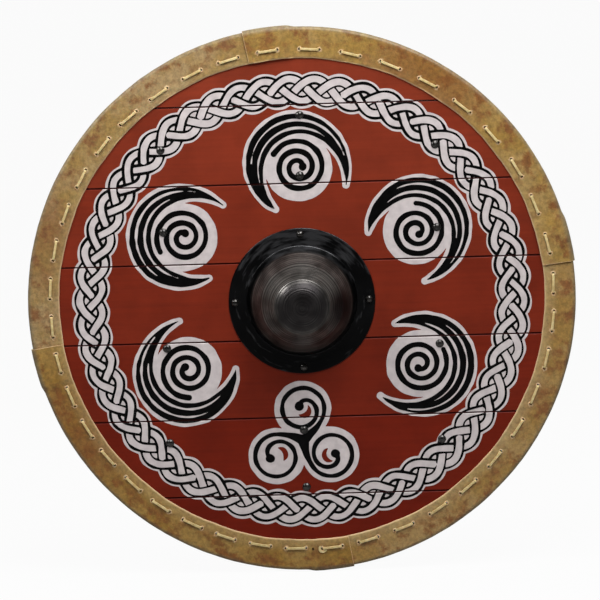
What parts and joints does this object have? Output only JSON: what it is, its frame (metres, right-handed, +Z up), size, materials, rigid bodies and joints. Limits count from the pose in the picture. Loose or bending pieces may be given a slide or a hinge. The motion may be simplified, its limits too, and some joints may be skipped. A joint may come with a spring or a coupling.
{
  "type": "round plank shield",
  "caption": "Round wooden plank shield with a spun steel boss, a laced rawhide rim, rear battens and a carved centre handle.",
  "frame": {"origin": "centre of the grip, where the fist closes, on the shield's middle", "axes": "+Z up the handle as the shield is held upright, -Y out of the front through the boss, +X to the right as seen from the front"},
  "size_m": [0.76, 0.1146, 0.7638],
  "materials": {
    "painted_planks": "brushed red paint on the front, bare wood behind",
    "blackened_steel": "spun and blackened",
    "rivet_iron": "forged and blackened",
    "rawhide": "dried, mottled, half gloss",
    "thong": "pale, dried",
    "oiled_ash": "carved and oiled",
    "bare_pine": "planed, bare"
  },
  "bodies": {
    "root": {"plank_1": "painted_planks", "plank_2": "painted_planks", "plank_3": "painted_planks", "plank_4_left": "painted_planks", "plank_4_right": "painted_planks", "plank_5": "painted_planks", "plank_6": "painted_planks", "plank_7": "painted_planks", "boss": "blackened_steel", "handle": "oiled_ash", "batten_left": "bare_pine", "batten_right": "bare_pine", "batten_rivets": "rivet_iron", "batten_roves": "rivet_iron", "handle_rivets": "rivet_iron", "handle_roves": "rivet_iron", "boss_side_rivets": "rivet_iron", "boss_side_roves": "rivet_iron", "boss_handle_rivets": "rivet_iron", "boss_handle_roves": "rivet_iron", "rim_top_right": "rawhide", "rim_bottom_right": "rawhide", "rim_bottom_left": "rawhide", "rim_top_left": "rawhide", "lace_top_right": "thong", "lace_bottom_right": "thong", "lace_bottom_left": "thong", "lace_top_left": "thong"}
  },
  "joints": []
}
